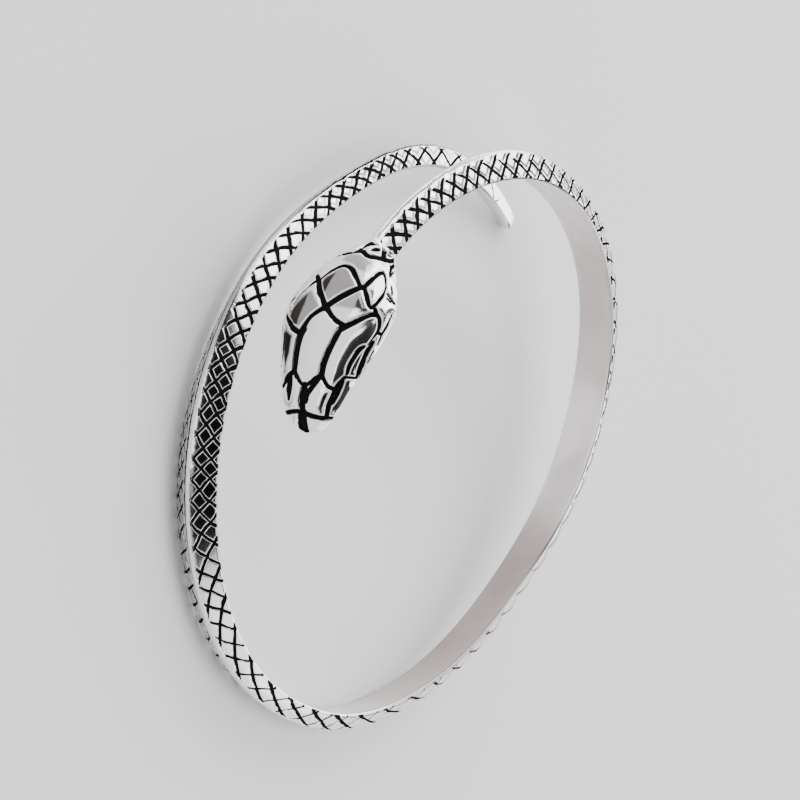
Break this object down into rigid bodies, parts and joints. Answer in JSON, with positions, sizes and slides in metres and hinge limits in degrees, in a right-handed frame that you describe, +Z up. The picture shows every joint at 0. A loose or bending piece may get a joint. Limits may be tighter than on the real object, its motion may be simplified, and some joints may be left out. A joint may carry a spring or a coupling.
{
  "type": "snake bracelet",
  "caption": "Open snake bangle that winds once and a quarter round the wrist, with a scaled band, plain tail and plated head.",
  "frame": {"origin": "on the surface that the bracelet lies on, below the middle of its box", "axes": "+Z up, out of the wrist opening; +Y along the long way of the oval opening; the overlap of head and tail is on the -X side"},
  "size_m": [0.0582, 0.0668, 0.0191],
  "materials": {
    "silver": "polished silver with blackened grooves"
  },
  "bodies": {
    "root": {"snake_bangle": "silver"}
  },
  "joints": []
}
